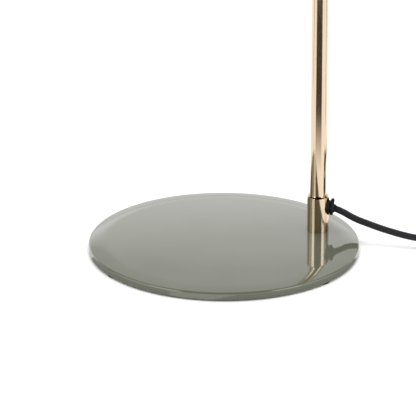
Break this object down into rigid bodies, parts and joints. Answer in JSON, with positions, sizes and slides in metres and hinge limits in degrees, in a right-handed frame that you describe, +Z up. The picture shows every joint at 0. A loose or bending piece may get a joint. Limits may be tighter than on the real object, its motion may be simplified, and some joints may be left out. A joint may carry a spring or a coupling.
{
  "type": "adjustable arm floor lamp",
  "caption": "Floor lamp: weighted round base, offset pole, friction-jointed arm and a tilting bell shade with a switch and a braided cord.",
  "frame": {"origin": "middle of the round base's underside, on the floor", "axes": "+Z up along the pole, +X from the middle of the base to the pole, the arm reaches along -X"},
  "size_m": [0.7338, 0.305, 1.4006],
  "materials": {
    "sage_lacquer": "glossy sage-grey lacquer",
    "cast_iron": "rough, as cast",
    "rubber_black": "matt black",
    "zinc_steel": "bright zinc plate",
    "champagne_brass": "satin champagne plate, lacquered",
    "plain_brass": "turned, satin",
    "black_plastic": "moulded black",
    "fibre": "brown vulcanised fibre",
    "nylon": "natural nylon",
    "lead": "black PVC sleeve",
    "braid": "woven textile braid",
    "clear_glass": "inside-frosted bulb glass",
    "bulb_cap": "bright pressed screw cap",
    "shade_lacquer": "spun, glossy sage-grey lacquer outside and white inside",
    "pin_metal": "nickel-plated"
  },
  "bodies": {
    "stand": {"base_cover": "sage_lacquer", "base_weight": "cast_iron", "base_feet": "rubber_black", "centre_foot": "rubber_black", "base_washer": "zinc_steel", "base_bolt": "zinc_steel", "pole_insert": "zinc_steel", "collar": "champagne_brass", "collar_screw": "zinc_steel", "cord_gland": "rubber_black", "lower_pole": "champagne_brass", "pole_coupler": "zinc_steel", "upper_pole": "champagne_brass", "pole_lead": "lead", "pole_bush": "plain_brass", "swivel_clip": "zinc_steel", "cord": "braid", "cord_coil": "braid", "cord_tie": "rubber_black", "cord_tail": "braid", "plug_strain_relief": "rubber_black", "plug_body": "black_plastic", "plug_pins": "pin_metal"},
    "swivel": {"swivel_washer": "nylon", "swivel_fork": "champagne_brass", "arm_pivot_bolt": "plain_brass", "arm_washers": "fibre"},
    "knob": {"arm_knob": "plain_brass"},
    "arm": {"arm_tongue": "champagne_brass", "arm_tube": "champagne_brass", "arm_lead": "lead", "arm_end": "champagne_brass", "wrist_clip": "zinc_steel"},
    "wrist": {"wrist_washer": "nylon", "wrist_fork": "champagne_brass", "shade_pivot_screw": "plain_brass", "shade_pivot_nut": "plain_brass", "shade_washers": "fibre"},
    "shade_head": {"shade_stem": "champagne_brass", "shade_cap": "champagne_brass", "stem_nut": "zinc_steel", "lampholder": "black_plastic", "socket_shell": "plain_brass", "centre_contact": "plain_brass", "shade_ring": "black_plastic", "shade": "shade_lacquer", "bulb_glass": "clear_glass", "bulb_base": "bulb_cap", "shade_lead": "lead", "switch_body": "black_plastic", "switch_nut": "plain_brass", "switch_spring": "zinc_steel"},
    "button": {"switch_button": "plain_brass"}
  },
  "joints": [
    {"name": "pole_swivel", "type": "hinge", "parent": "stand", "child": "swivel", "pos_m": [0.095, 0, 1.25], "axis": [0, 0, 1], "range_deg": [-170, 170]},
    {"name": "arm_tilt", "type": "hinge", "parent": "swivel", "child": "arm", "pos_m": [0.095, 0, 1.28], "axis": [0, 1, 0], "range_deg": [-50, 45]},
    {"name": "knob_turn", "type": "hinge", "parent": "swivel", "child": "knob", "pos_m": [0.095, 0.0155, 1.28], "axis": [0, 1, 0], "range_deg": [0, 180]},
    {"name": "wrist_roll", "type": "hinge", "parent": "arm", "child": "wrist", "pos_m": [-0.32035, 0, 1.39129], "axis": [-0.9659, 0, 0.2588], "range_deg": [-90, 90]},
    {"name": "shade_tilt", "type": "hinge", "parent": "wrist", "child": "shade_head", "pos_m": [-0.32035, 0, 1.39129], "axis": [0, 1, 0], "range_deg": [-30, 75]},
    {"name": "switch_push", "type": "slide", "parent": "shade_head", "child": "button", "axis": [0, 0, -1], "range_m": [0, 0.0025], "stiffness_N_per_m": 800, "springref_m": -0.001, "deforming": ["switch_spring"]}
  ]
}
